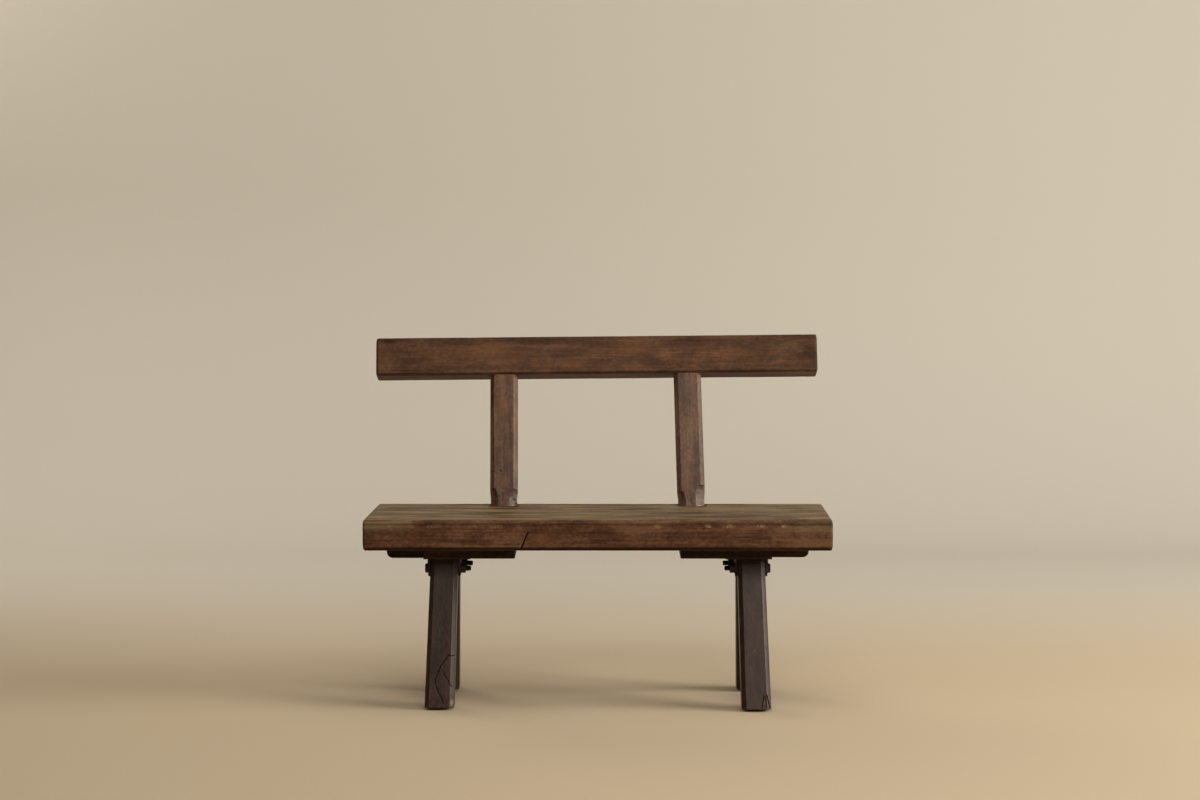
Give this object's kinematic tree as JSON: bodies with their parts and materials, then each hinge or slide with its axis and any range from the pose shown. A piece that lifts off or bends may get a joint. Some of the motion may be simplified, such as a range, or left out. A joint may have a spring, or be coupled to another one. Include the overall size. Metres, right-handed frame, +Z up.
{
  "type": "monks bench",
  "caption": "Rustic dark timber bench: thick slab seat, reclined beam back on two posts, and splayed square legs bolted in steel brackets.",
  "frame": {"origin": "on the floor, at the middle of the whole bench's length and depth", "axes": "+X along the bench to its right end as seen from the front, +Y from the front edge to the back, +Z up"},
  "size_m": [1.082, 0.4833, 0.8498],
  "materials": {
    "seat_timber": "dark stained and waxed, worn along its edges",
    "rail_timber": "dark stained and waxed, worn along its edges",
    "post_timber": "dark stained, bevelled and whittled",
    "leg_timber": "cool dark stain, checked at the foot",
    "board_timber": "dark stained, matt",
    "peg_timber": "dark stained end grain",
    "dark_steel": "dull, darkened",
    "foot_rubber": "matt"
  },
  "bodies": {
    "root": {"seat_slab": "seat_timber", "left_post": "post_timber", "right_post": "post_timber", "back_rail": "rail_timber", "seat_pegs": "peg_timber", "rail_pegs": "peg_timber", "left_mounting_board": "board_timber", "right_mounting_board": "board_timber", "front_left_leg": "leg_timber", "front_left_bracket": "dark_steel", "front_left_pad": "foot_rubber", "front_right_leg": "leg_timber", "front_right_bracket": "dark_steel", "front_right_pad": "foot_rubber", "rear_left_leg": "leg_timber", "rear_left_bracket": "dark_steel", "rear_left_pad": "foot_rubber", "rear_right_leg": "leg_timber", "rear_right_bracket": "dark_steel", "rear_right_pad": "foot_rubber", "leg_bolts": "dark_steel", "leg_washers": "dark_steel", "leg_nuts": "dark_steel", "board_screws": "dark_steel", "bracket_screws": "dark_steel", "pad_screws": "dark_steel"}
  },
  "joints": []
}
